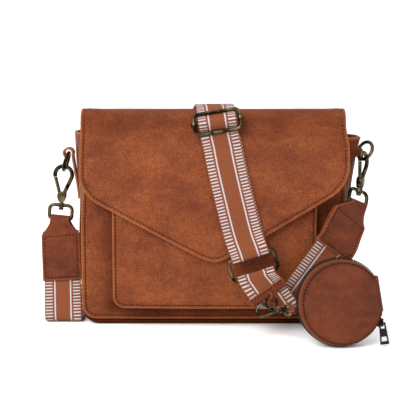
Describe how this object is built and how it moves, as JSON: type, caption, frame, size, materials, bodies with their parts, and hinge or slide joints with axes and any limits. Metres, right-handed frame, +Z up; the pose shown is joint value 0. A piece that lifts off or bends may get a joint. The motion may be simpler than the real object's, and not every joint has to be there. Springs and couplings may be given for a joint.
{
  "type": "flap crossbody bag",
  "caption": "Tan leather flap crossbody bag with a front pocket, patterned webbing strap, swivel clasps and a round zip coin pouch clipped to the strap.",
  "frame": {"origin": "centre of the underside of the base, on the ground", "axes": "+Z up, front face towards -Y, +X along the width to the right as seen from the front"},
  "size_m": [0.3489, 0.1726, 0.2253],
  "materials": {
    "tan_leather": "satin, mottled",
    "brown_leather": "satin, mottled",
    "patterned_webbing": "woven, tan with white bars and lines",
    "antique_brass": "antique, worn",
    "black_zip": "matt black tape and teeth",
    "dark_metal": "dark antique"
  },
  "bodies": {
    "bag": {"front_panel": "tan_leather", "back_panel": "tan_leather", "gusset": "tan_leather", "front_pocket": "tan_leather", "flap": "tan_leather", "tab_left": "tan_leather", "tab_right": "tan_leather", "ring_left": "antique_brass", "ring_right": "antique_brass", "clasp_left_base": "antique_brass", "clasp_right_base": "antique_brass", "strap_end_left": "brown_leather", "strap_end_right": "brown_leather", "webbing_long": "patterned_webbing", "webbing_short": "patterned_webbing", "slider_frame": "antique_brass", "slider_bar": "antique_brass", "strap_ring": "antique_brass", "strap_patch": "brown_leather", "patch_loop": "brown_leather", "patch_ring": "antique_brass", "pouch_clasp_base": "antique_brass", "pouch_tab": "brown_leather", "pouch_front": "brown_leather", "pouch_back": "brown_leather", "pouch_zip": "black_zip", "pouch_hinge": "brown_leather", "zip_slider": "dark_metal"},
    "left_hook": {"clasp_left_hook": "antique_brass"},
    "left_gate": {"clasp_left_gate": "antique_brass"},
    "right_hook": {"clasp_right_hook": "antique_brass"},
    "right_gate": {"clasp_right_gate": "antique_brass"},
    "pouch_hook": {"pouch_clasp_hook": "antique_brass"},
    "pouch_gate": {"pouch_clasp_gate": "antique_brass"},
    "pull": {"zip_pull": "dark_metal"}
  },
  "joints": [
    {"name": "left_swivel", "type": "hinge", "parent": "bag", "child": "left_hook", "pos_m": [-0.16069, -0.00594, 0.11954], "axis": [0.0996, 0.0524, 0.9936], "range_deg": [-20, 20]},
    {"name": "left_gate", "type": "hinge", "parent": "left_hook", "child": "left_gate", "pos_m": [-0.16163, -0.00539, 0.13017], "axis": [-0.0052, 0.9986, -0.0522], "range_deg": [0, 26], "stiffness_Nm_per_rad": 0.02, "springref_deg": -20.05},
    {"name": "right_swivel", "type": "hinge", "parent": "bag", "child": "right_hook", "pos_m": [0.14727, -0.02862, 0.1382], "axis": [0.1899, 0.4221, 0.8864], "range_deg": [-20, 8]},
    {"name": "right_gate", "type": "hinge", "parent": "right_hook", "child": "right_gate", "pos_m": [0.1482, -0.02561, 0.14842], "axis": [-0.8235, 0.5601, -0.0903], "range_deg": [0, 26], "stiffness_Nm_per_rad": 0.02, "springref_deg": -20.05},
    {"name": "pouch_swivel", "type": "hinge", "parent": "bag", "child": "pouch_hook", "pos_m": [0.06717, -0.09259, 0.03261], "axis": [-0.8662, 0.4688, -0.1732], "range_deg": [-15, 4]},
    {"name": "pouch_gate", "type": "hinge", "parent": "pouch_hook", "child": "pouch_gate", "pos_m": [0.06044, -0.08983, 0.03011], "axis": [0.4824, 0.6939, -0.5346], "range_deg": [0, 14], "stiffness_Nm_per_rad": 0.008, "springref_deg": -20.05},
    {"name": "pull_hinge", "type": "hinge", "parent": "bag", "child": "pull", "pos_m": [0.15915, -0.10126, 0.02191], "axis": [-0.9888, -0.1083, -0.1022], "range_deg": [0, 100]}
  ]
}
